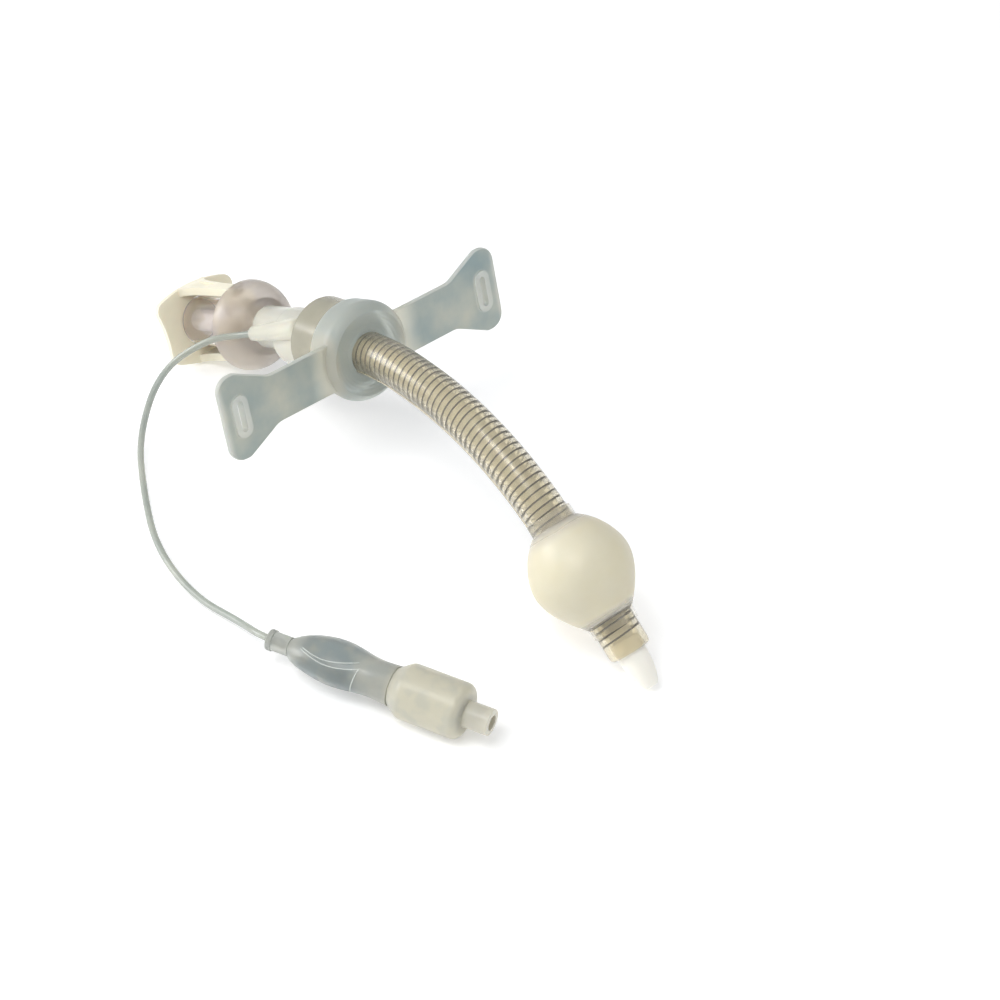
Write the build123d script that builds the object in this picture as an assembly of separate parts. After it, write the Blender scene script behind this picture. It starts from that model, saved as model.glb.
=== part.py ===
from build123d import *
import os
from math import cos, pi, radians, sin, sqrt, tan

# Cuffed, wire-reinforced tracheostomy tube with its obturator in place.
# Lengths are in millimetres, +Z is up and the tube points along +X.
# It lies as it comes to rest, on the obturator's handle and tip, with the floor at Z = 0.
# Each piece is drawn in the frame where it is simplest: the flange frame has the tube's axis
# along X at the neck flange, the connector frame lies at the rear bend and the end frame
# at the start of the straight end.  The whole is then turned to its resting slope.

# Tube
tube_outer_d = 12.2
tube_bore_d = 9.0
flange_lead = 2.7
first_bend_radius = 70.0
first_bend_deg = 15.6
main_bend_radius = 94.0
main_bend_deg = 38.0
main_bend_lead = 3.5
end_length = 35.5
end_round = 1.4
rear_bend_radius = 84.0
rear_bend_deg = 10.0

# Inflation lumen, carried in a ridge on the lower left side of the wall
ridge_d = 1.5
ridge_centre_r = 5.7
ridge_angle_deg = 215.0
lumen_d = 0.7
lumen_centre_r = 5.8
ridge_run_in_cuff = 2.0

# Reinforcing wire, one turn each pitch
wire_size = 0.5
wire_turn_r = 4.8
wire_pitch = 2.0
wire_sides = 12
wire_end_margin = 4.6

# Neck flange and the collar behind it
boss_back = 6.7
boss_back_r = 13.7
boss_max_r = 14.5
boss_max_station = 1.0
boss_front = 3.8
boss_rim_r = 12.4
boss_dish_front = 2.9
boss_dish_r = 7.6
boss_round = 0.8
wing_thickness = 1.8
wing_front = 1.6
wing_half_span = 50.4
wing_neck_half = 7.3
wing_tip_length = 6.2
wing_flare_length = 11.2
wing_tip_half = 12.8
wing_outer_round = 4.6
wing_neck_round = 6.0
wing_edge_round = 0.5
slot_inset = 5.8
slot_length = 9.3
slot_width = 1.9
slot_rim = 1.7
slot_rim_height = 0.6
collar_ring_length = 11.6
collar_ring_r = 12.0
collar_ring_round = 0.9

# Hub: the silicone sleeve over the barb, its thick collar and the line's junction
hub_d = 12.5
hub_length = 12.2
hub_collar_r = 8.4
hub_collar_drop = 2.0
hub_collar_round = 0.9
junction_rear_d = 4.4
junction_front_d = 6.6
junction_front_round = 1.4
junction_front_side = 5.6
junction_front_rise = 4.4
junction_front_gap = 2.2
junction_rear_side = 9.0
junction_rear_rise = 2.0
junction_rear_station = 7.0
line_socket_depth = 4.0

# Connector: a 15 mm male cone with a bore, a domed skirt and a barb
cone_mouth_d = 15.47
cone_taper = 1 / 40
cone_length = 26.2
cone_bore_d = 12.8
cone_lip = 0.5
skirt_rim_d = 27.2
skirt_depth = 10.6
skirt_wall = 1.4
skirt_rim_round = 0.5
barb_d = 10.4
barb_ridge = 0.35
barb_ridge_length = 2.6
barb_ridges = 3
barb_tip_gap = 1.2
bore_taper_length = 6.0

# Cuff, blown out
cuff_from_end = 10.5
cuff_length = 29.4
cuff_d = 29.2
cuff_station_shares = (0.12, 0.31, 0.47, 0.63, 0.83)
cuff_radius_shares = (0.712, 0.93, 1.0, 0.945, 0.73)
cuff_wall = 0.6
cuff_band_wall = 0.6
cuff_rear_band = 3.4
cuff_front_band = 3.0
cuff_band_round = 0.35

# Obturator
handle_gap = 0.3
handle_plate = 2.4
handle_half_height = 12.0
handle_half_width = 14.5
handle_waist = 13.3
handle_corner_height = 9.2
handle_corner_round = 3.2
handle_foot_half = 5.5
handle_edge_round = 0.7
strap_thickness = 2.4
strap_root_half = 5.2
strap_mid_half = 2.7
strap_end_half = 2.0
strap_mid_reach = 8.0
dish_length = 9.0
dish_width = 3.2
dish_depth = 0.5
dish_reach = 6.5
rod_d = 6.5
rod_socket_depth = 1.8
tip_d = 8.4
tip_run_in = 4.0
tip_reach = 10.7
tip_straight = 0.6
tip_flat_d = 3.6
tip_round = 0.7

# Inflation line
line_d = 2.0
bend_share = 0.45
line_neck_plug = 5.0

# Pilot balloon with the sheath over its valve
pilot_x = 25.0
pilot_y = -70.4
pilot_turn_deg = 21.3
pilot_neck_d = 5.4
pilot_lip_d = 6.0
pilot_lip_length = 1.6
pilot_lip_round = 0.25
pilot_neck_length = 6.5
pilot_wall = 0.8
balloon_length = 31.5
balloon_half_width = 7.1
balloon_half_height = 5.6
balloon_rise = 0.7
balloon_station_shares = (0.0, 0.2, 0.42, 0.62, 0.76, 0.88, 1.0)
balloon_width_shares = (0.35, 0.82, 1.0, 0.93, 0.8, 0.76, 0.8)
balloon_height_shares = (0.43, 0.83, 1.0, 0.95, 0.92, 0.96, 1.0)
balloon_rise_shares = (0.0, 0.8, 1.0, 0.8, 0.5, 0.2, 0.0)
sheath_d = 15.6
sheath_start_d = 10.6
sheath_shoulder = 3.6
sheath_length = 21.4
sheath_round = 2.4
sheath_wall = 1.3

# Check valve inside the sheath
valve_fit = 0.05
valve_stem_d = 5.2
valve_stem_bore_d = 2.4
valve_stem_length = 9.0
barrel_length = 17.0
barrel_round = 1.4
chamber_d = 6.4
chamber_length = 13.8
port_flange_d = 9.4
port_flange_thickness = 2.4
port_d = 7.4
port_reach = 8.6
port_lip_round = 0.3
luer_mouth_d = 4.3
luer_taper = 0.06
luer_depth = 7.5
seal_thickness = 1.2
seal_hole_d = 3.0
plunger_head_d = 4.8
plunger_head_thickness = 1.4
plunger_stem_d = 1.8
plunger_nose_reach = 6.0
plunger_tail_length = 9.8
spring_wire_d = 0.4
spring_mean_d = 3.6
spring_turns = 5
plunger_travel = 1.8

# One overrun serves every cut
overrun = 1.0

tube_r = tube_outer_d / 2
bore_r = tube_bore_d / 2
hub_r = hub_d / 2
X_AXIS = (1, 0, 0)
Y_AXIS = (0, 1, 0)

# Stations along the axis, from the flange frame's origin backwards and forwards
rear_straight = boss_back + collar_ring_length
wing_tip_reach = wing_half_span - wing_tip_length
wing_neck_reach = wing_tip_reach - wing_flare_length
slot_reach = wing_half_span - slot_inset
connector_frame = Location((-rear_straight, 0, 0)) * Location(
    (-rear_bend_radius * sin(radians(rear_bend_deg)), 0, -rear_bend_radius * (1 - cos(radians(rear_bend_deg)))),
    (0, -rear_bend_deg, 0))


def bend_end(radius, angle_deg):
    """Frame at the end of a downward bend that starts along X at the origin."""
    angle = radians(angle_deg)
    return Location((radius * sin(angle), 0, -radius * (1 - cos(angle))), (0, angle_deg, 0))


first_frame = Location((flange_lead, 0, 0))
first_end = first_frame * bend_end(first_bend_radius, first_bend_deg)
main_frame = first_end * Pos(main_bend_lead, 0, 0)
end_frame = main_frame * bend_end(main_bend_radius, main_bend_deg)
skirt_x = -hub_length - skirt_depth
mouth_x = skirt_x - cone_length


def revolved(outline, frame=Location()):
    """Turns a flat outline, drawn with the axis along X, into a solid of revolution."""
    return frame * revolve(outline, Axis.X)


def bar(x_from, x_to, r_to, r_from=0):
    """A flat rectangle between two stations and two radii, to be revolved."""
    size = Rectangle(x_to - x_from, r_to - r_from)
    return Pos((x_from + x_to) / 2, (r_from + r_to) / 2) * size


def bend(frame, radius, angle_deg):
    """Arc of a downward bend that starts along X in a frame, or ends there for a negative angle."""
    middle = frame * bend_end(radius, angle_deg / 2)
    return ThreePointArc(frame.position, middle.position, (frame * bend_end(radius, angle_deg)).position)


def rear_arc():
    """The gentle bend between the hub and the flange, from its rear end."""
    return bend(connector_frame, rear_bend_radius, rear_bend_deg)


def straight(frame, x_from, x_to):
    """A straight run along the X axis of a frame."""
    start = (frame * Pos(x_from, 0, 0)).position
    stop = (frame * Pos(x_to, 0, 0)).position
    return Edge.make_line(start, stop)


def tube_path(rear_run, end_run):
    """The tube's axis, from rear_run before the rear bend to end_run past the main bend."""
    edges = [
        rear_arc(),
        straight(Location(), -rear_straight, flange_lead),
        bend(first_frame, first_bend_radius, first_bend_deg),
        straight(first_end, 0, main_bend_lead),
        bend(main_frame, main_bend_radius, main_bend_deg),
    ]
    if rear_run:
        edges.insert(0, straight(connector_frame, -rear_run, 0))
    if end_run:
        edges.append(straight(end_frame, 0, end_run))
    return Wire(edges)


def swept(section, path, start_frame):
    """Carries a section, drawn about the origin with Y to the side and Z up, along a path."""
    plane = Plane(start_frame * Location(Plane.YZ))
    return sweep(plane * section, path)


def off_axis(radius, angle_deg):
    """A place in the tube's section, at a radius and an angle from the right side."""
    angle = radians(angle_deg)
    return Pos(radius * cos(angle), radius * sin(angle))


def ridge():
    """The ridge that carries the inflation lumen, along the whole tube into the cuff."""
    section = off_axis(ridge_centre_r, ridge_angle_deg) * Circle(ridge_d / 2)
    return swept(section, tube_path(0, ridge_run_in_cuff), connector_frame)


def make_shaft_tube():
    """Silicone tube with its ridge and inflation lumen as far as the cuff and a rounded end."""
    section = Circle(tube_r) + off_axis(ridge_centre_r, ridge_angle_deg) * Circle(ridge_d / 2)
    section -= Circle(bore_r)
    section -= off_axis(lumen_centre_r, ridge_angle_deg) * Circle(lumen_d / 2)
    wall = swept(section, tube_path(0, ridge_run_in_cuff), connector_frame)
    end_section = Plane(end_frame * Pos(ridge_run_in_cuff, 0, 0) * Location(Plane.YZ))
    wall += extrude(end_section * (Circle(tube_r) - Circle(bore_r)), end_length - ridge_run_in_cuff)
    rim_point = (end_frame * Pos(end_length, tube_r, 0)).position
    rim = wall.edges().filter_by(GeomType.CIRCLE).sort_by_distance(rim_point)[0]
    return fillet(rim, end_round)


def make_reinforcing_wire():
    """Wire turns inside the tube's wall, each a closed many-sided hoop."""
    path = tube_path(0, end_length)
    first = wire_pitch / 2
    count = int((path.length - first - wire_end_margin) / wire_pitch)
    section = RegularPolygon(wire_turn_r + wire_size, wire_sides) - RegularPolygon(wire_turn_r, wire_sides)
    hoops = []
    for turn in range(count):
        share = (first + turn * wire_pitch) / path.length
        plane = Plane(path @ share, x_dir=Y_AXIS, z_dir=path % share)
        hoops.append(extrude(plane * section, wire_size))
    return Compound(children=hoops)


def boss_outline():
    """Half section of the flange's boss: a rounded rim about a shallow dished face."""
    with BuildSketch() as sketch:
        with BuildLine():
            Polyline((-boss_back, 0), (-boss_back, boss_back_r), (-boss_max_station, boss_max_r))
            bulge = sqrt(1 / 2)
            mid_x = -boss_max_station + (boss_front + boss_max_station) * bulge
            mid_r = boss_rim_r + (boss_max_r - boss_rim_r) * bulge
            ThreePointArc((-boss_max_station, boss_max_r), (mid_x, mid_r), (boss_front, boss_rim_r))
            Polyline((boss_front, boss_rim_r), (boss_dish_front, boss_dish_r), (boss_dish_front, 0), (-boss_back, 0))
        make_face()
    face = sketch.sketch
    rear_rim = face.vertices().sort_by(Axis.X)[:2].sort_by(Axis.Y)[-1]
    return fillet(rear_rim, boss_round)


def wing_outline():
    """Both wings in one outline: a narrow neck that widens to a triangular tip."""
    quarter = [
        (wing_neck_reach, wing_neck_half),
        (wing_tip_reach, wing_tip_half),
        (wing_half_span, wing_tip_half),
    ]
    right = quarter + [(y, -z) for y, z in reversed(quarter)]
    left = [(-y, -z) for y, z in right]
    face = make_face(Polyline(*right, *left, close=True))
    neck_corners = [v for v in face.vertices() if abs(v.Y) < wing_tip_half - wing_edge_round]
    face = fillet(neck_corners, wing_neck_round)
    tips = [v for v in face.vertices() if abs(v.X) > wing_half_span - wing_edge_round]
    face = fillet(tips, wing_outer_round)
    top = wing_tip_half - wing_edge_round
    shoulders = [v for v in face.vertices() if abs(v.Y) > top and abs(v.X) < wing_tip_reach + wing_edge_round]
    return fillet(shoulders, wing_outer_round / 2)


def make_neck_flange():
    """Domed boss and two thin wings with a strap slot each, moulded in one."""
    wing_back = wing_front - wing_thickness
    plate = extrude(Plane.YZ.offset(wing_back) * wing_outline(), wing_thickness)
    outline_edges = plate.faces().sort_by(Axis.X)[-1].edges() + plate.faces().sort_by(Axis.X)[0].edges()
    plate = fillet(outline_edges, wing_edge_round)
    rim_plane = Plane.YZ.offset(wing_back - slot_rim_height)
    through = wing_thickness + slot_rim_height * 2
    for side in (-1, 1):
        place = rim_plane * Pos(side * slot_reach, 0)
        rim = extrude(place * SlotOverall(slot_length + slot_rim * 2, slot_width + slot_rim * 2, 90), through)
        plate += rim
    body = plate + revolved(boss_outline())
    for side in (-1, 1):
        place = rim_plane.offset(-overrun) * Pos(side * slot_reach, 0)
        body -= extrude(place * SlotOverall(slot_length, slot_width, 90), through + overrun * 2)
    body -= revolved(bar(-boss_back - overrun, boss_front + overrun, tube_r))
    return body - ridge()


def make_flange_collar():
    """Ring that backs the flange on the tube."""
    face = bar(-rear_straight, -boss_back, collar_ring_r)
    rear_rim = face.vertices().sort_by(Axis.X)[:2].sort_by(Axis.Y)[-1]
    ring = revolved(fillet(rear_rim, collar_ring_round))
    ring -= revolved(bar(-rear_straight - overrun, -boss_back + overrun, tube_r))
    return ring - ridge()


def barb_outline():
    """Half section of the barb, with its sawtooth ridges."""
    barb_r = barb_d / 2
    foot = -barb_tip_gap - barb_ridges * barb_ridge_length
    points = [(-hub_length, 0), (-hub_length, barb_r), (foot, barb_r)]
    for _ in range(barb_ridges):
        points.append((foot, barb_r + barb_ridge))
        foot += barb_ridge_length
        points.append((foot, barb_r))
    points.append((foot, 0))
    return make_face(Polyline(*points, close=True))


def make_connector():
    """Clear 15 mm cone with the frosted domed skirt and the barb, moulded in one."""
    rim_r = skirt_rim_d / 2
    dome_length = skirt_depth / sqrt(1 - (hub_r / rim_r) ** 2)
    reach = rim_r * 2 + cone_length
    zone = bar(skirt_x, -hub_length, rim_r)
    outer = (Pos(skirt_x, 0) * Ellipse(dome_length, rim_r)) & zone
    inner = (Pos(skirt_x, 0) * Ellipse(dome_length - skirt_wall, rim_r - skirt_wall)) & zone
    mouth_r = cone_mouth_d / 2
    inner_end = -hub_length - skirt_wall
    widest = mouth_r + (inner_end - mouth_x) * cone_taper / 2
    cone = make_face(Polyline(
        (mouth_x, 0), (mouth_x, mouth_r - cone_lip / 2), (mouth_x + cone_lip, mouth_r),
        (inner_end, widest), (inner_end, 0), close=True))
    cone = cone & (outer + bar(mouth_x, skirt_x, reach))
    skirt = outer - inner
    lip = skirt.vertices().sort_by(Axis.X)[:2]
    skirt = fillet(lip, skirt_rim_round)
    solid = revolved(skirt) + revolved(cone) + revolved(bar(inner_end - skirt_wall, -hub_length, hub_r))
    solid += revolved(barb_outline())
    taper_start = -hub_length - bore_taper_length
    bore = make_face(Polyline(
        (mouth_x - overrun, 0), (mouth_x - overrun, cone_bore_d / 2), (taper_start, cone_bore_d / 2),
        (-hub_length, bore_r), (overrun, bore_r), (overrun, 0), close=True))
    return connector_frame * (solid - revolved(bore))


def junction_ends():
    """Rear and front end of the line's junction, in the flange frame."""
    rear = connector_frame * Pos(-junction_rear_station, -junction_rear_side, junction_rear_rise)
    front_x = -rear_straight - junction_front_gap
    return rear.position, Vector(front_x, -junction_front_side, junction_front_rise)


def junction_plane():
    """Plane at the junction's rear end, looking along it towards the flange."""
    rear, front = junction_ends()
    return Plane(rear, x_dir=(0, 0, 1), z_dir=front - rear)


def make_hub():
    """Silicone sleeve over the barb, its thick collar and the line's junction, moulded in one."""
    sleeve = connector_frame * revolve(bar(-hub_length, 0, hub_r), Axis.X)
    arc = Wire([rear_arc()])
    sleeve += swept(Circle(hub_r), arc, connector_frame)
    collar = swept(Pos(0, -hub_collar_drop) * Circle(hub_collar_r), arc, connector_frame)
    rear_face = collar.faces().sort_by_distance(connector_frame.position)[0]
    collar = fillet(rear_face.edges(), hub_collar_round)
    rear, front = junction_ends()
    length = (front - rear).length
    boss = Solid.make_cone(junction_rear_d / 2, junction_front_d / 2, length, junction_plane())
    front_rim = boss.edges().filter_by(GeomType.CIRCLE).sort_by_distance(front)[0]
    boss = fillet(front_rim, junction_front_round)
    body = sleeve + collar + boss
    body -= revolved(barb_outline(), connector_frame)
    body -= connector_frame * revolve(bar(-hub_length - overrun, overrun, bore_r), Axis.X)
    body -= swept(Circle(tube_r), arc, connector_frame)
    body -= ridge()
    socket = Solid.make_cylinder(line_d / 2, line_socket_depth, junction_plane())
    lumen = (connector_frame * Location(Plane.YZ) * off_axis(lumen_centre_r, ridge_angle_deg)).position
    bottom = junction_plane().origin + junction_plane().z_dir * (line_socket_depth - line_d / 2)
    passage_plane = Plane(bottom, z_dir=lumen - bottom)
    passage = Solid.make_cylinder(lumen_d / 2, (lumen - bottom).length, passage_plane)
    return body - socket - passage


def cuff_profile(rear, front, neck_r, inset):
    """The blown shape from neck to neck, fullest behind its middle and tapering to the front."""
    points = [(rear, neck_r)]
    for station, radius in zip(cuff_station_shares, cuff_radius_shares):
        x = end_length - cuff_from_end - cuff_length * (1 - station)
        points.append((x, radius * cuff_d / 2 - inset))
    points.append((front, neck_r))
    line = Spline(*points)
    return make_face(Wire([line, *Polyline((front, neck_r), (front, 0), (rear, 0), (rear, neck_r)).edges()]))


def cuff_outline():
    """Half section of the blown cuff with a bonded band at each end."""
    front = end_length - cuff_from_end
    rear = front - cuff_length
    band_r = tube_r + cuff_band_wall
    bands = bar(rear - cuff_rear_band, front + cuff_front_band, band_r)
    bands = fillet(bands.vertices().group_by(Axis.Y)[-1], cuff_band_round)
    outer = cuff_profile(rear, front, band_r, 0) + bands
    hollow = cuff_profile(rear + cuff_wall, front - cuff_wall * 2, tube_r, cuff_wall)
    core = bar(rear - cuff_rear_band - overrun, front + cuff_front_band + overrun, tube_r)
    return outer - hollow - core


def make_cuff():
    """Inflated cuff, a thin shell bonded on the tube at both ends."""
    return revolved(cuff_outline(), end_frame)


def handle_plate_outline():
    """Outline of the handle's plate: crowned top, slightly waisted sides and a flat foot."""
    right, top = handle_half_width, handle_corner_height
    crown, foot = handle_half_height, handle_foot_half
    with BuildSketch() as sketch:
        with BuildLine():
            ThreePointArc((-right, top), (0, crown), (right, top))
            ThreePointArc((right, top), (handle_waist, 0), (right, -top))
            Line((right, -top), (foot, -crown))
            Line((foot, -crown), (-foot, -crown))
            Line((-foot, -crown), (-right, -top))
            ThreePointArc((-right, -top), (-handle_waist, 0), (-right, top))
        make_face()
    corners = [v for v in sketch.sketch.vertices() if abs(v.X) > handle_waist]
    return fillet(corners, handle_corner_round)


def strap_outline():
    """Plan of a strap that narrows from the plate towards the skirt."""
    root = mouth_x - handle_gap
    reach = skirt_x - handle_gap - root
    with BuildSketch() as sketch:
        with BuildLine():
            Spline((root, strap_root_half), (root + strap_mid_reach, strap_mid_half),
                   (root + reach, strap_end_half), tangents=((1, -1), (1, 0)))
            Line((root + reach, strap_end_half), (root + reach, -strap_end_half))
            Spline((root + reach, -strap_end_half), (root + strap_mid_reach, -strap_mid_half),
                   (root, -strap_root_half), tangents=((-1, 0), (-1, -1)))
            back = root - handle_plate / 2
            Polyline((root, -strap_root_half), (back, -strap_root_half), (back, strap_root_half),
                     (root, strap_root_half))
        make_face()
    return sketch.sketch


def make_obturator_handle():
    """Plate across the connector's mouth with a strap above and below the cone."""
    back = mouth_x - handle_gap - handle_plate
    plate = extrude(Plane.YZ.offset(back) * handle_plate_outline(), handle_plate)
    plate = fillet(plate.faces().sort_by(Axis.X)[0].edges(), handle_edge_round)
    upper = extrude(Plane.XY.offset(handle_half_height - strap_thickness) * strap_outline(), strap_thickness)
    lower = extrude(Plane.XY.offset(-handle_half_height) * strap_outline(), strap_thickness)
    dish_ball_r = (dish_length ** 2 / 4 + dish_depth ** 2) / (2 * dish_depth)
    dish = Solid.make_cylinder(dish_ball_r, dish_width, Plane(
        (mouth_x + dish_reach, -dish_width / 2, handle_half_height - dish_depth + dish_ball_r),
        z_dir=Y_AXIS))
    body = plate + upper + lower - dish
    socket_x = mouth_x - handle_gap - rod_socket_depth
    body -= revolved(bar(socket_x, mouth_x + overrun, rod_d / 2))
    return connector_frame * body


def tip_solid():
    """Bullet nose that leads the tube through the stoma."""
    tip_r = tip_d / 2
    nose = tip_reach - tip_straight
    nose_half_axis = nose / sqrt(1 - (tip_flat_d / tip_d) ** 2)
    base = end_length + tip_straight
    outline = (Pos(base, 0) * Ellipse(nose_half_axis, tip_r)) & bar(base, base + nose, tip_r)
    front_rim = outline.vertices().sort_by(Axis.X)[-2:].sort_by(Axis.Y)[-1]
    outline = fillet(front_rim, tip_round)
    return revolved(outline + bar(end_length - tip_run_in, base, tip_r), end_frame)


def make_obturator_rod():
    """Flexible rod through the whole lumen with its bullet nose, moulded in one."""
    run = -(mouth_x - handle_gap - rod_socket_depth)
    start = connector_frame * Pos(-run, 0, 0)
    path = tube_path(run, end_length - tip_run_in + overrun)
    return swept(Circle(rod_d / 2), path, start) + tip_solid()


def resting_slope(handle, tip):
    """Turns the assembly until the handle's foot and the tip touch one level floor."""
    def imbalance(slope):
        turn = Rot(0, -slope, 0)
        return (turn * handle).bounding_box().min.Z - (turn * tip).bounding_box().min.Z
    low, high = 0.0, 45.0
    for _ in range(24):
        middle = (low + high) / 2
        if imbalance(middle) > 0:
            low = middle
        else:
            high = middle
    return (low + high) / 2


pilot_frame = Location((pilot_x, pilot_y, sheath_d / 2), (0, 0, pilot_turn_deg))
sheath_x = pilot_neck_length + balloon_length
sheath_end = sheath_x + sheath_length
barrel_end = sheath_end - sheath_wall
barrel_x = barrel_end - barrel_length
barrel_r = sheath_d / 2 - sheath_wall
port_seat = barrel_end - port_flange_thickness
chamber_x = barrel_end - chamber_length
seal_x = port_seat - seal_thickness
plunger_x = seal_x - plunger_head_thickness
port_end = barrel_end + port_reach


def balloon_loft(inset):
    """Flattened balloon between the neck and the sheath, as a loft of ellipses."""
    sections = []
    rows = zip(balloon_station_shares, balloon_width_shares, balloon_height_shares, balloon_rise_shares)
    for station, width, height, rise in rows:
        plane = Plane.YZ.offset(pilot_neck_length + station * balloon_length)
        plane = plane * Pos(0, rise * balloon_rise)
        half_width = width * balloon_half_width - inset
        half_height = height * balloon_half_height - inset
        sections.append(plane * Ellipse(half_width, half_height))
    return loft(sections)


def sheath_outline():
    """Half section of the thick sheath with a shoulder at each end."""
    sheath_r = sheath_d / 2
    points = [(sheath_x, 0), (sheath_x, sheath_start_d / 2), (sheath_x + sheath_shoulder, sheath_r),
              (sheath_end, sheath_r), (sheath_end, 0)]
    face = make_face(Polyline(*points, close=True))
    front = face.vertices().sort_by(Axis.X)[-2:].sort_by(Axis.Y)[-1]
    face = fillet(front, sheath_round)
    shoulder = face.vertices().sort_by_distance((sheath_x + sheath_shoulder, sheath_r))[0]
    return fillet(shoulder, sheath_round)


def make_pilot_balloon():
    """Thin balloon, its neck and the thick sheath over the valve, moulded in one."""
    neck = bar(0, pilot_neck_length, pilot_neck_d / 2) + bar(0, pilot_lip_length, pilot_lip_d / 2)
    lip = neck.vertices().group_by(Axis.Y)[-1]
    neck = fillet(lip, pilot_lip_round)
    outer = revolved(neck) + balloon_loft(0) + revolved(sheath_outline())
    hollow = balloon_loft(pilot_wall) & revolved(bar(pilot_neck_length, sheath_x - pilot_wall, sheath_d))
    body = outer - hollow
    body -= revolved(bar(-overrun, line_neck_plug, line_d / 2))
    body -= revolved(bar(line_neck_plug - overrun, pilot_neck_length + overrun, lumen_d))
    body -= revolved(valve_body_envelope())
    body -= revolved(bar(barrel_end - overrun, sheath_end + overrun, port_d / 2))
    return pilot_frame * body


def valve_body_envelope():
    """Half section of the valve body's outside: a stem and a barrel."""
    barrel = bar(barrel_x, barrel_end, barrel_r)
    barrel = fillet(barrel.vertices().group_by(Axis.Y)[-1], barrel_round)
    return barrel + bar(barrel_x - valve_stem_length, barrel_x + overrun, valve_stem_d / 2)


def make_valve_body():
    """Ivory body with its chamber, the port's seat and a stem into the balloon."""
    body = revolved(valve_body_envelope())
    body -= revolved(bar(chamber_x, barrel_end + overrun, chamber_d / 2))
    body -= revolved(bar(port_seat, barrel_end + overrun, port_flange_d / 2 + valve_fit))
    body -= revolved(bar(barrel_x - valve_stem_length - overrun, chamber_x + overrun, valve_stem_bore_d / 2))
    return pilot_frame * body


def make_valve_port():
    """Female luer port with the flange that closes the chamber."""
    port = bar(port_seat, barrel_end, port_flange_d / 2) + bar(port_seat, port_end, port_d / 2)
    port = fillet(port.vertices().sort_by(Axis.X)[-2:].sort_by(Axis.Y)[-1], port_lip_round)
    mouth_r = luer_mouth_d / 2
    throat_r = mouth_r - luer_depth * luer_taper / 2
    luer = make_face(Polyline(
        (port_seat - overrun, 0), (port_seat - overrun, throat_r), (port_end - luer_depth, throat_r),
        (port_end, mouth_r), (port_end + overrun, mouth_r), (port_end + overrun, 0), close=True))
    return pilot_frame * revolved(port - luer)


def make_valve_seal():
    """Soft ring that the plunger closes against."""
    ring = bar(seal_x, port_seat, chamber_d / 2 - valve_fit, seal_hole_d / 2)
    return revolved(ring, pilot_frame)


def make_valve_plunger():
    """Plunger with its sealing head, the nose in the port and the tail in the spring."""
    stem_r = plunger_stem_d / 2
    outline = bar(plunger_x, seal_x, plunger_head_d / 2)
    outline += bar(plunger_x - plunger_tail_length, port_seat + plunger_nose_reach, stem_r)
    return revolved(outline, pilot_frame)


def make_valve_spring():
    """Closing spring on the chamber's floor, drawn at its length with the plunger pressed in."""
    length = plunger_x - plunger_travel - chamber_x - spring_wire_d
    pitch = length / spring_turns
    start = Plane((chamber_x + spring_wire_d / 2, 0, 0), z_dir=X_AXIS)
    coil = start.location * Edge.make_helix(pitch, length, spring_mean_d / 2)
    section = Plane(coil @ 0, z_dir=coil % 0) * RegularPolygon(spring_wire_d / 2, 6)
    return pilot_frame * sweep(section, coil)


# Route of the inflation line from the junction to the pilot balloon, in the resting frame
line_lead = 4.5
line_tail = 2.7
line_route = [
    (-70.6, -16.6, 26.3),
    (-79.6, -27.7, 14.5),
    (-68.6, -44.2, 5.1),
    (-49.4, -56.8, 2.9),
    (-29.7, -67.3, 1.4),
    (-7.0, -71.5, 1.3),
    (11.1, -69.6, 3.6),
]


def make_inflation_line(pose):
    """Line from the junction's socket to the pilot balloon's neck."""
    plane = junction_plane()
    start = (pose * Location(plane.origin + plane.z_dir * line_socket_depth)).position
    leave = (pose * Location(plane.origin - plane.z_dir * line_lead)).position
    arrive = (pilot_frame * Pos(-line_tail, 0, 0)).position
    stop = (pilot_frame * Pos(line_neck_plug, 0, 0)).position
    points = [start, leave] + [Vector(*point) for point in line_route] + [arrive, stop]
    radii = []
    for before, corner, after in zip(points, points[1:], points[2:]):
        turn = (corner - before).get_angle(after - corner)
        shorter = min((corner - before).length, (after - corner).length)
        radii.append(bend_share * shorter / tan(radians(turn) / 2))
    print("line radii", [round(r, 1) for r in radii])
    path = FilletPolyline(*points, radius=radii)
    section = Plane(start, z_dir=leave - start) * Circle(line_d / 2)
    solid = sweep(section, path)
    print("line length", round(path.length, 1), "volume share",
          round(solid.volume / (path.length * pi * line_d ** 2 / 4), 4))
    return solid


def main():
    os.makedirs("parts", exist_ok=True)
    handle = make_obturator_handle()
    slope = resting_slope(handle, tip_solid())
    turn = Rot(0, -slope, 0)
    floor = (turn * handle).bounding_box().min.Z
    rear = (turn * handle).bounding_box().min.X
    front = (turn * tip_solid()).bounding_box().max.X
    pose = Pos(-(rear + front) / 2, 0, -floor) * turn
    print("resting slope", round(slope, 3), "pose", pose)
    nodes = {
        "obturator_handle": pose * handle,
        "obturator_rod": pose * make_obturator_rod(),
        "connector": pose * make_connector(),
        "hub": pose * make_hub(),
        "shaft_tube": pose * make_shaft_tube(),
        "reinforcing_wire": pose * make_reinforcing_wire(),
        "flange_collar": pose * make_flange_collar(),
        "neck_flange": pose * make_neck_flange(),
        "cuff": pose * make_cuff(),
        "inflation_line": make_inflation_line(pose),
        "pilot_balloon": make_pilot_balloon(),
        "valve_body": make_valve_body(),
        "valve_port": make_valve_port(),
        "valve_seal": make_valve_seal(),
        "valve_plunger": make_valve_plunger(),
        "valve_spring": make_valve_spring(),
    }
    for name, solid in nodes.items():
        export_step(solid, f"parts/{name}.step")
    return nodes, pose


if __name__ == "__main__":
    main()
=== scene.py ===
import math
import bpy
from mathutils import Matrix, Vector


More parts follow.
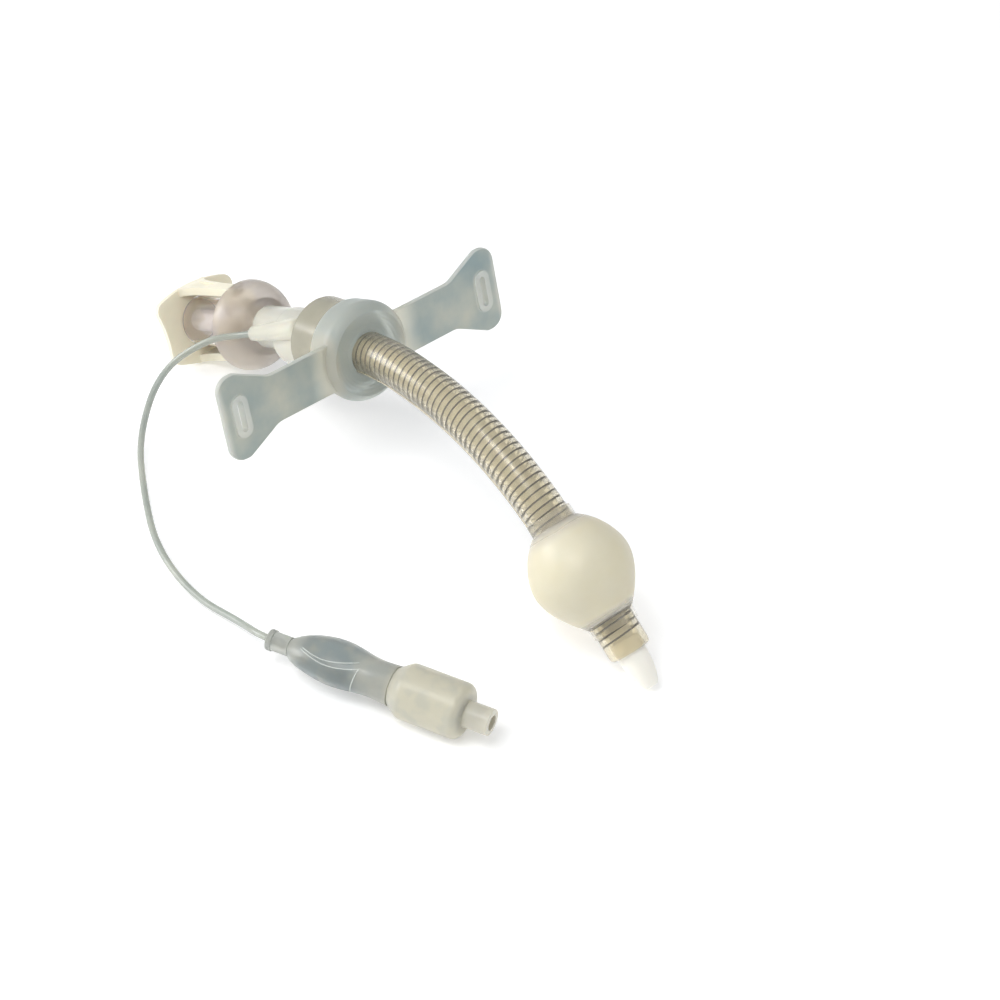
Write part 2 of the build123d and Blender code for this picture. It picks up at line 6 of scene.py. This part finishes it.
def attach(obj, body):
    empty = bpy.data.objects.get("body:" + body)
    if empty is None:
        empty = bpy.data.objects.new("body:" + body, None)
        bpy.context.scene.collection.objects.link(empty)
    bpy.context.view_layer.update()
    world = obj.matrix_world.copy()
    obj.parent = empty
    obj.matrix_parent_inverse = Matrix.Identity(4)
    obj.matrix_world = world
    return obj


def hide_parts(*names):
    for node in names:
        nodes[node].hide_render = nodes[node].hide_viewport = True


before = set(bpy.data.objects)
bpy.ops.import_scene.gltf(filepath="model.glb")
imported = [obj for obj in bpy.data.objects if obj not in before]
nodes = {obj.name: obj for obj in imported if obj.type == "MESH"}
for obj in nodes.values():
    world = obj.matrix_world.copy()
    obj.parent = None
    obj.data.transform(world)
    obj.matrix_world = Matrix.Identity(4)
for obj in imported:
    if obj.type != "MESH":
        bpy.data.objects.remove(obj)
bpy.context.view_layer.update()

# Shaft tube.  Silicone cured round a steel helix, clear and a little yellowed, so that the wire in
# its wall and the white rod in its bore show through; it darkens where the wall is seen edge on.
tube_clear = (0.998, 0.938, 0.78)
tube_yellowed = (0.985, 0.92, 0.75)
silicone_index = 1.41
light_reach = (1.0, 0.8, 0.6)
light_depth = 0.003
relief_height = 0.0004
patch_edges = (0.35, 0.65)


def new_material(name, colour, roughness=0.5, transmission=0.0, subsurface=0.0):
    """A plain material, with its node tree and its shader for the section to refine."""
    made = bpy.data.materials.new(name)
    made.use_nodes = True
    shader = made.node_tree.nodes["Principled BSDF"]
    shader.inputs["Base Color"].default_value = (*colour, 1)
    shader.inputs["Roughness"].default_value = roughness
    shader.inputs["Transmission Weight"].default_value = transmission
    shader.inputs["Subsurface Weight"].default_value = subsurface
    shader.inputs["Subsurface Radius"].default_value = light_reach
    shader.inputs["Subsurface Scale"].default_value = light_depth
    shader.inputs["IOR"].default_value = silicone_index
    return made, made.node_tree, shader


def clouds(tree, place, fineness, detail=2.0):
    """Soft patches, from 0 to 1 about one half; a higher fineness makes them smaller."""
    node = tree.nodes.new("ShaderNodeTexNoise")
    node.inputs["Scale"].default_value = fineness
    node.inputs["Detail"].default_value = detail
    tree.links.new(place.outputs["Object"], node.inputs["Vector"])
    return node.outputs["Fac"]


def ramp(tree, value, low, high, first=0.0, last=1.0, kind="LINEAR"):
    """Runs from the first value to the last while the given one runs from low to high."""
    node = tree.nodes.new("ShaderNodeMapRange")
    node.interpolation_type = kind
    node.inputs["From Min"].default_value = low
    node.inputs["From Max"].default_value = high
    node.inputs["To Min"].default_value = first
    node.inputs["To Max"].default_value = last
    tree.links.new(value, node.inputs["Value"])
    return node.outputs["Result"]


def tint(tree, shader, share, colour):
    """Lays a second colour over what the shader has, by a share from 0 to 1."""
    base = shader.inputs["Base Color"]
    node = tree.nodes.new("ShaderNodeMix")
    node.data_type = "RGBA"
    node.inputs["A"].default_value = base.default_value
    node.inputs["B"].default_value = (*colour, 1)
    if base.links:
        tree.links.new(base.links[0].from_socket, node.inputs["A"])
    tree.links.new(share, node.inputs["Factor"])
    tree.links.new(node.outputs["Result"], base)


def relief(tree, shader, height, strength):
    """Raises the surface a little by the height, on top of any relief that it has."""
    normal = shader.inputs["Normal"]
    node = tree.nodes.new("ShaderNodeBump")
    node.inputs["Strength"].default_value = strength
    node.inputs["Distance"].default_value = relief_height
    tree.links.new(height, node.inputs["Height"])
    if normal.links:
        tree.links.new(normal.links[0].from_socket, node.inputs["Normal"])
    tree.links.new(node.outputs["Normal"], normal)


def vary(tree, shader, name, share, first, last):
    """Runs one of the shader's values from first to last with a share from 0 to 1."""
    tree.links.new(ramp(tree, share, 0.0, 1.0, first, last), shader.inputs[name])


def wear(tree, shader, other, fineness, gloss, unevenness):
    """Clouds a second colour and a change of gloss over a faintly uneven surface."""
    place = tree.nodes.new("ShaderNodeTexCoord")
    patches = clouds(tree, place, fineness, detail=4.0)
    tint(tree, shader, ramp(tree, patches, *patch_edges), other)
    vary(tree, shader, "Roughness", patches, *gloss)
    relief(tree, shader, patches, unevenness)
    return place


def dress(node, made):
    """Gives a CAD node its material, with smooth shading."""
    obj = nodes[node]
    obj.data.materials.clear()
    obj.data.materials.append(made)
    for face in obj.data.polygons:
        face.use_smooth = True
    return obj


made, tree, shader = new_material("tube silicone", tube_clear, transmission=0.86)
wear(tree, shader, tube_yellowed, fineness=90.0, gloss=(0.15, 0.25), unevenness=0.03)
dress("shaft_tube", made)

# Reinforcing wire.  One fine steel helix laid in the tube's wall, from the hub to the cuff's far
# side; it reads dark brown through the silicone.
wire_pitch = 0.002
wire_turn_radius = 0.00505
wire_radius = 0.00025
wire_margin = 0.0046
wire_brown = (0.02, 0.016, 0.012)
wire_lit = (0.05, 0.04, 0.03)
spots_per_turn = 30
tube_start = Vector((-0.0504039, 0.0, 0.0336725))
rest_slope = math.radians(16.6465)

# The tube's middle line: a bend is its radius and its degrees, a straight is None and its length.
tube_runs = [(0.084, 10.0), (None, 0.021), (0.070, 15.6), (None, 0.0035), (0.094, 38.0),
             (None, 0.0355 - wire_margin)]


def bar(name, kind, spots, radius, roundness, smoothness=12):
    """A round bar through a row of spots, with straight steps (POLY) or a smooth course (NURBS)."""
    curve = bpy.data.curves.new(name, "CURVE")
    curve.dimensions = "3D"
    spline = curve.splines.new(kind)
    spline.points.add(len(spots) - 1)
    for point, spot in zip(spline.points, spots):
        point.co = (*spot, 1)
    spline.order_u = 3
    spline.use_endpoint_u = True
    spline.resolution_u = smoothness
    curve.bevel_depth = radius
    curve.bevel_resolution = roundness
    obj = bpy.data.objects.new(name, curve)
    bpy.context.scene.collection.objects.link(obj)
    return obj


stride = wire_pitch / spots_per_turn
place = tube_start
heading = -math.radians(tube_runs[0][1]) - rest_slope
gone = 0.0
helix = []
for radius, amount in tube_runs:
    length = radius * math.radians(amount) if radius else amount
    for _ in range(round(length / stride)):
        phase = 2 * math.pi * gone / wire_pitch
        up = Vector((math.sin(heading), 0, math.cos(heading)))
        side = Vector((0, 1, 0))
        helix.append(place + (side * math.cos(phase) + up * math.sin(phase)) * wire_turn_radius)
        place = place + Vector((math.cos(heading), 0, -math.sin(heading))) * stride
        heading += stride / radius if radius else 0.0
        gone += stride
wire = bar("wire_helix", "POLY", helix, wire_radius, roundness=1)
made, tree, shader = new_material("wire steel", wire_brown)
wear(tree, shader, wire_lit, fineness=400.0, gloss=(0.4, 0.6), unevenness=0.02)
wire.data.materials.append(made)
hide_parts("reinforcing_wire")
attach(wire, "tube")

# Obturator rod.  Glossy white polyethylene, moulded with its bullet tip and a little waxy; it fills
# the bore and stands out past the tube's end.
rod_white = (0.96, 0.93, 0.84)
rod_shade = (0.92, 0.89, 0.80)
made, tree, shader = new_material("rod white", rod_white, subsurface=0.1)
wear(tree, shader, rod_shade, fineness=60.0, gloss=(0.22, 0.36), unevenness=0.03)
dress("obturator_rod", made)

# Cuff.  Thin satin silicone, blown round, cream and nearly opaque; it is bonded to the tube by two
# bands that are so thin that the wire shows through them.
cuff_place = (0.06383, 0.0, 0.02921)
cuff_slope = math.radians(36.95)
cuff_cream = (0.90, 0.80, 0.58)
cuff_shade = (0.86, 0.75, 0.52)
band_clear = (0.995, 0.975, 0.91)
rear_band_end = (-0.0062, 0.0004)
front_band_start = (0.0215, 0.0250)
rear_share = 0.92
cuff_clearness = (0.1, 0.95)
cuff_depth = (0.4, 0.0)
cuff_polish = (1.0, 0.25)


def step(tree, kind, first, second=0.0, third=0.0):
    """One math node, fed by sockets or by plain values."""
    node = tree.nodes.new("ShaderNodeMath")
    node.operation = kind
    for socket, value in zip(node.inputs, (first, second, third)):
        if isinstance(value, bpy.types.NodeSocket):
            tree.links.new(value, socket)
        else:
            socket.default_value = value
    return node.outputs[0]


def soften(tree, value, low, high):
    """0 at the low end and 1 at the high end, smooth between them."""
    return ramp(tree, value, low, high, kind="SMOOTHSTEP")


def fade(tree, value, low, high):
    """1 at the low end and 0 at the high end, smooth between them."""
    return ramp(tree, value, low, high, 1.0, 0.0, kind="SMOOTHSTEP")


def own_frame(tree, place, origin, turn):
    """A spot as seen from a piece's own frame, and its distance along each of its axes."""
    node = tree.nodes.new("ShaderNodeMapping")
    node.vector_type = "TEXTURE"
    node.inputs["Location"].default_value = origin
    node.inputs["Rotation"].default_value = turn
    tree.links.new(place.outputs["Object"], node.inputs["Vector"])
    split = tree.nodes.new("ShaderNodeSeparateXYZ")
    tree.links.new(node.outputs["Vector"], split.inputs["Vector"])
    return node.outputs["Vector"], split.outputs


made, tree, shader = new_material("cuff cream", cuff_cream)
place = wear(tree, shader, cuff_shade, fineness=70.0, gloss=(0.33, 0.46), unevenness=0.04)
_, along = own_frame(tree, place, cuff_place, (0.0, cuff_slope, 0.0))
rear_band = step(tree, "MULTIPLY", fade(tree, along["X"], *rear_band_end), rear_share)
thin = step(tree, "MAXIMUM", rear_band, soften(tree, along["X"], *front_band_start))
tint(tree, shader, thin, band_clear)
vary(tree, shader, "Transmission Weight", thin, *cuff_clearness)
vary(tree, shader, "Subsurface Weight", thin, *cuff_depth)
satin = shader.inputs["Roughness"].links[0].from_socket
polish = ramp(tree, thin, 0.0, 1.0, *cuff_polish)
tree.links.new(step(tree, "MULTIPLY", satin, polish), shader.inputs["Roughness"])
dress("cuff", made)

# Flange collar.  A thick ring of clear beige silicone, bonded on behind the neck flange and darker
# at its edges.
collar_beige = (0.72, 0.69, 0.56)
collar_shade = (0.62, 0.59, 0.47)
made, tree, shader = new_material("collar beige", collar_beige, transmission=0.6)
wear(tree, shader, collar_shade, fineness=80.0, gloss=(0.18, 0.32), unevenness=0.04)
dress("flange_collar", made)

# Neck flange.  Bluish grey frosted silicone, moulded in one, with faint turned rings on the boss's
# dished face.  The rolled rims of the strap slots and the wings' edges get a painted highlight, and
# the thick root of each wing is paler, with a painted warm glow.
flange_place = (-0.01926, 0.0, 0.04432)
flange_lean = -math.radians(16.65)
flange_front = (math.cos(flange_lean), 0.0, -math.sin(flange_lean))
flange_grey = (0.34, 0.43, 0.435)
flange_cloud = (0.62, 0.63, 0.55)
painted_edge_highlight = (0.88, 0.88, 0.82)
root_blue = (0.76, 0.82, 0.79)
painted_root_glow = (0.93, 0.86, 0.70)
edge_highlight_share = 0.65
root_share = 0.6
glow_share = 0.55
ring_fineness = 300.0
ring_wobble = 0.6
ring_strength = 0.15
flange_clearness = (0.45, 0.55)
boss_edge = (0.0115, 0.0135)
slot_reach = 0.0446
slot_half = 0.0037
slot_rim = (0.0022, 0.0034)
wing_end = (0.0485, 0.0503)
wing_root = (0.013, 0.021)
rolled_turn = (0.75, 0.99)
rolled_start = (0.015, 0.019)
glow_start = (0.0095, 0.0125)


def slant(tree, first, second):
    """The long side of a right-angled triangle, from its two short sides."""
    squares = [step(tree, "MULTIPLY", side, side) for side in (first, second)]
    return step(tree, "SQRT", step(tree, "ADD", *squares))


made, tree, shader = new_material("flange grey", flange_grey, subsurface=0.2)
place = wear(tree, shader, flange_cloud, fineness=60.0, gloss=(0.32, 0.48), unevenness=0.05)
spot, along = own_frame(tree, place, flange_place, (0.0, flange_lean, 0.0))
aside = step(tree, "ABSOLUTE", along["Y"])
above = step(tree, "ABSOLUTE", along["Z"])
rings = tree.nodes.new("ShaderNodeTexWave")
rings.wave_type = "RINGS"
rings.rings_direction = "X"
rings.inputs["Scale"].default_value = ring_fineness
rings.inputs["Distortion"].default_value = ring_wobble
tree.links.new(spot, rings.inputs["Vector"])
on_boss = fade(tree, slant(tree, aside, above), *boss_edge)
relief(tree, shader, step(tree, "MULTIPLY", rings.outputs["Fac"], on_boss), ring_strength)
across = step(tree, "SUBTRACT", aside, slot_reach)
past = step(tree, "MAXIMUM", step(tree, "SUBTRACT", above, slot_half), 0.0)
rim = fade(tree, slant(tree, across, past), *slot_rim)
facing = tree.nodes.new("ShaderNodeVectorMath")
facing.operation = "DOT_PRODUCT"
facing.inputs[1].default_value = flange_front
tree.links.new(place.outputs["Normal"], facing.inputs[0])
turned = fade(tree, step(tree, "ABSOLUTE", facing.outputs["Value"]), *rolled_turn)
rolled = step(tree, "MULTIPLY", turned, soften(tree, aside, *rolled_start))
# Painted highlight: the slot rims, the wings' ends and their rolled edges are whitened as if they
# caught the light.
edge = step(tree, "MAXIMUM", step(tree, "MAXIMUM", rim, soften(tree, aside, *wing_end)), rolled)
tint(tree, shader, step(tree, "MULTIPLY", edge, edge_highlight_share), painted_edge_highlight)
root = fade(tree, aside, *wing_root)
tint(tree, shader, step(tree, "MULTIPLY", root, root_share), root_blue)
# Painted glow: a warm light painted over the thick root of each wing, just outside the boss.
glow = step(tree, "MULTIPLY", soften(tree, aside, *glow_start), root)
tint(tree, shader, step(tree, "MULTIPLY", glow, glow_share), painted_root_glow)
vary(tree, shader, "Transmission Weight", root, *flange_clearness)
dress("neck_flange", made)

# Hub.  Milky silicone, moulded in one as the sleeve over the connector's barb, the thick collar
# and the junction that the inflation line is bonded into.
hub_milk = (0.98, 0.95, 0.83)
hub_shade = (0.94, 0.91, 0.78)
made, tree, shader = new_material("hub milky", hub_milk, transmission=0.45, subsurface=0.3)
wear(tree, shader, hub_shade, fineness=80.0, gloss=(0.12, 0.24), unevenness=0.04)
dress("hub", made)

# Connector.  One clear rigid moulding, pushed into the hub: its cone is polished, and its domed
# skirt is frosted, pinkish grey with warm patches.
skirt_start = (-0.0707, 0.0, 0.0235)
connector_lean = -math.radians(26.65)
rigid_index = 1.5
cone_clear = (0.95, 0.90, 0.90)
skirt_grey = (0.75, 0.69, 0.63)
skirt_warm = (0.88, 0.79, 0.63)
warm_fineness = 110.0
warm_edges = (0.45, 0.68)
warm_share = 0.6
connector_gloss = (0.04, 0.36)
connector_clearness = (0.97, 0.78)
skirt_line = (-0.0004, 0.0004)
made, tree, shader = new_material("connector clear", cone_clear)
shader.inputs["IOR"].default_value = rigid_index
place = tree.nodes.new("ShaderNodeTexCoord")
_, along = own_frame(tree, place, skirt_start, (0.0, connector_lean, 0.0))
on_skirt = ramp(tree, along["X"], *skirt_line)
tint(tree, shader, on_skirt, skirt_grey)
patches = soften(tree, clouds(tree, place, warm_fineness), *warm_edges)
warm = step(tree, "MULTIPLY", step(tree, "MULTIPLY", patches, on_skirt), warm_share)
tint(tree, shader, warm, skirt_warm)
vary(tree, shader, "Roughness", on_skirt, *connector_gloss)
vary(tree, shader, "Transmission Weight", on_skirt, *connector_clearness)
dress("connector", made)

# Obturator handle.  Ivory polypropylene, moulded as a plate across the cone's mouth with a strap
# above and below the cone; it holds the rod.
handle_ivory = (0.86, 0.81, 0.65)
handle_shade = (0.81, 0.76, 0.60)
made, tree, shader = new_material("handle ivory", handle_ivory, subsurface=0.25)
wear(tree, shader, handle_shade, fineness=120.0, gloss=(0.32, 0.46), unevenness=0.05)
dress("obturator_handle", made)

# Inflation line.  Clear greenish PVC tubing, two millimetres across, bonded at both ends; it arches
# off the junction and curls down to the pilot balloon.
line_points = [
    (-0.05417, -0.00834, 0.03434), (-0.06137, -0.00975, 0.03005), (-0.0706, -0.0166, 0.0263),
    (-0.0796, -0.0277, 0.0145), (-0.0686, -0.0442, 0.0051), (-0.0494, -0.0568, 0.0029),
    (-0.0297, -0.0673, 0.0014), (-0.0070, -0.0715, 0.0013), (0.0111, -0.0696, 0.0036),
    (0.02248, -0.07138, 0.0078), (0.02966, -0.06858, 0.0078)]
line_radius = 0.00098
line_green = (0.58, 0.60, 0.53)
line_shade = (0.44, 0.48, 0.44)
line = bar("inflation_tubing", "NURBS", line_points, line_radius, roundness=6, smoothness=16)
made, tree, shader = new_material("line green grey", line_green, transmission=0.45)
wear(tree, shader, line_shade, fineness=60.0, gloss=(0.16, 0.26), unevenness=0.02)
line.data.materials.append(made)
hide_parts("inflation_line")
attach(line, "tube")

# Pilot balloon.  Thin clear PVC film, bluish grey, welded flat and blown up; it turns milky at its
# neck and tail and ivory over the thick sheath that holds the valve.
sheath_start = (0.06031, -0.05664, 0.0078)
pilot_turn = math.radians(21.3)
film_grey = (0.53, 0.58, 0.58)
film_light = (0.68, 0.69, 0.64)
film_milk = (0.66, 0.66, 0.59)
sheath_ivory = (0.88, 0.855, 0.73)
sheath_grey = (0.68, 0.70, 0.65)
film_fineness = 160.0
film_edges = (0.4, 0.65)
sheath_fineness = 190.0
sheath_edges = (0.45, 0.65)
milk_share = 0.6
grey_share = 0.45
pilot_clearness = (0.85, 0.60)
tail_start = (-0.0120, -0.0070)
neck_end = (-0.0290, -0.0240)
sheath_line = (-0.002, 0.002)
made, tree, shader = new_material("pilot clear", film_grey, roughness=0.32)
place = tree.nodes.new("ShaderNodeTexCoord")
_, along = own_frame(tree, place, sheath_start, (0.0, 0.0, pilot_turn))
tint(tree, shader, soften(tree, clouds(tree, place, film_fineness), *film_edges), film_light)
tail = soften(tree, along["X"], *tail_start)
milky = step(tree, "MAXIMUM", tail, fade(tree, along["X"], *neck_end))
tint(tree, shader, step(tree, "MULTIPLY", milky, milk_share), film_milk)
on_sheath = soften(tree, along["X"], *sheath_line)
tint(tree, shader, on_sheath, sheath_ivory)
patches = soften(tree, clouds(tree, place, sheath_fineness), *sheath_edges)
grey = step(tree, "MULTIPLY", step(tree, "MULTIPLY", patches, on_sheath), grey_share)
tint(tree, shader, grey, sheath_grey)
vary(tree, shader, "Transmission Weight", milky, *pilot_clearness)
balloon = dress("pilot_balloon", made)

# Weld seams of the balloon.  Two fine light lines run along its upper side, where the film is
# welded, and end at a third that crosses it before the sheath.
seam_radius = 0.00014
seam_lift = 0.00004
seam_steps = 32
seam_pale = (0.90, 0.92, 0.86)
seam_shade = (0.82, 0.84, 0.78)
well_outside = 0.02

# Each seam's start and end along the balloon, and its degrees about it at start, middle and end.
seams = {
    "seam_low": (-0.0268, -0.0093, (55, 38, 54)),
    "seam_high": (-0.0262, -0.0096, (60, 48, 74)),
    "seam_cross": (-0.0090, -0.0102, (58, 22, -15))}
axis = Vector((math.cos(pilot_turn), math.sin(pilot_turn), 0))
sideways = Vector((axis.y, -axis.x, 0))
made, tree, shader = new_material("seam pale", seam_pale, transmission=0.2, subsurface=0.3)
wear(tree, shader, seam_shade, fineness=90.0, gloss=(0.22, 0.36), unevenness=0.02)
for name, (start, end, (first, middle, last)) in seams.items():
    spots = []
    for k in range(seam_steps + 1):
        share = k / seam_steps
        angle = math.radians(first * (1 - share) * (1 - 2 * share) + middle * 4 * share * (1 - share)
                             + last * share * (2 * share - 1))
        foot = Vector(sheath_start) + axis * (start + (end - start) * share)
        out = sideways * math.cos(angle) + Vector((0, 0, math.sin(angle)))
        hit, spot, _, _ = balloon.ray_cast(foot + out * well_outside, -out)
        if hit:
            spots.append(spot + out * seam_lift)
    seam = bar(name, "NURBS", spots, seam_radius, roundness=2)
    seam.data.materials.append(made)
    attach(seam, "tube")

# Check valve.  An ivory body in the sheath, with a white luer port pressed into it; inside are a
# black seal, a steel spring and a white plunger whose nose stands in the port.  The line hangs
# loose from the junction, and carries the balloon and the valve.
port_white = (0.65, 0.63, 0.53)
port_shade = (0.60, 0.58, 0.49)
made, tree, shader = new_material("port white", port_white, subsurface=0.3)
wear(tree, shader, port_shade, fineness=150.0, gloss=(0.22, 0.34), unevenness=0.03)
dress("valve_port", made)
valve_finishes = {
    "valve_body": ("valve ivory", (0.92, 0.88, 0.74), 0.35, 0.0, "ivory_plastic"),
    "valve_seal": ("seal black", (0.03, 0.03, 0.03), 0.5, 0.0, "seal_rubber"),
    "valve_spring": ("spring steel", (0.55, 0.53, 0.5), 0.25, 1.0, "wire"),
    "valve_plunger": ("plunger white", (0.88, 0.87, 0.82), 0.3, 0.0, "white_plastic")}
for node, (finish, colour, roughness, metal, slot) in valve_finishes.items():
    made, tree, shader = new_material(finish, colour, roughness)
    shader.inputs["Metallic"].default_value = metal
    dress(node, made)

# Stage.  A pale floor that glows faintly, so that it stays white, and a camera that stands where
# the photograph was taken from.
floor_half = 3.0
floor_drop = 0.0002
floor_glow = 0.22
floor_mesh = bpy.data.meshes.new("floor")
floor_mesh.from_pydata([(-floor_half, -floor_half, 0), (floor_half, -floor_half, 0),
                        (floor_half, floor_half, 0), (-floor_half, floor_half, 0)],
                       [], [(0, 1, 2, 3)])
floor = bpy.data.objects.new("floor", floor_mesh)
floor.location.z = -floor_drop
bpy.context.scene.collection.objects.link(floor)
made, tree, shader = new_material("pale floor", (0.95, 0.95, 0.95), roughness=0.7)
shader.inputs["Emission Color"].default_value = (1, 1, 1, 1)
shader.inputs["Emission Strength"].default_value = floor_glow
floor_mesh.materials.append(made)

camera_right = Vector((0.67644, 0.73574, 0.03340))
camera_up = Vector((-0.50002, 0.42548, 0.75428))
camera_back = Vector((0.54075, -0.52693, 0.65570))
camera_place = (0.435993, -0.386830, 0.508312)
camera_data = bpy.data.cameras.new("camera")
camera_data.lens = 96.119
camera_data.sensor_width = 36.0
camera_data.clip_start = 0.01
camera = bpy.data.objects.new("camera", camera_data)
camera.matrix_world = Matrix((
    *zip(camera_right, camera_up, camera_back, camera_place), (0, 0, 0, 1)))
bpy.context.scene.collection.objects.link(camera)
bpy.context.scene.camera = camera

# Lamps.  Three square ones face the object: the key at the left, one above the camera and a weak
# one at the right.  Each has its place to the camera's right, up and back, its size and its watts.
lamps = {
    "key": (-1.60, 0.70, 0.30, 0.75, 17.0),
    "top": (-0.22, 0.42, 0.80, 0.34, 2.7),
    "fill": (0.6, 0.3, 0.6, 0.6, 0.8)}
lamp_aim = Vector((0, 0, 0.02))
for name, (right, up, back, size, power) in lamps.items():
    light = bpy.data.lights.new(name, "AREA")
    light.size = size
    light.energy = power
    lamp = bpy.data.objects.new(name, light)
    lamp.location = camera_right * right + camera_up * up + camera_back * back
    lamp.rotation_euler = (lamp_aim - lamp.location).to_track_quat("-Z", "Y").to_euler()
    bpy.context.scene.collection.objects.link(lamp)
sky_colour = (0.95, 0.97, 1.0, 1)
sky_strength = 0.54
world = bpy.data.worlds.new("studio")
world.use_nodes = True
sky = world.node_tree.nodes["Background"]
sky.inputs["Color"].default_value = sky_colour
sky.inputs["Strength"].default_value = sky_strength
bpy.context.scene.world = world
bpy.context.scene.view_settings.view_transform = "Standard"
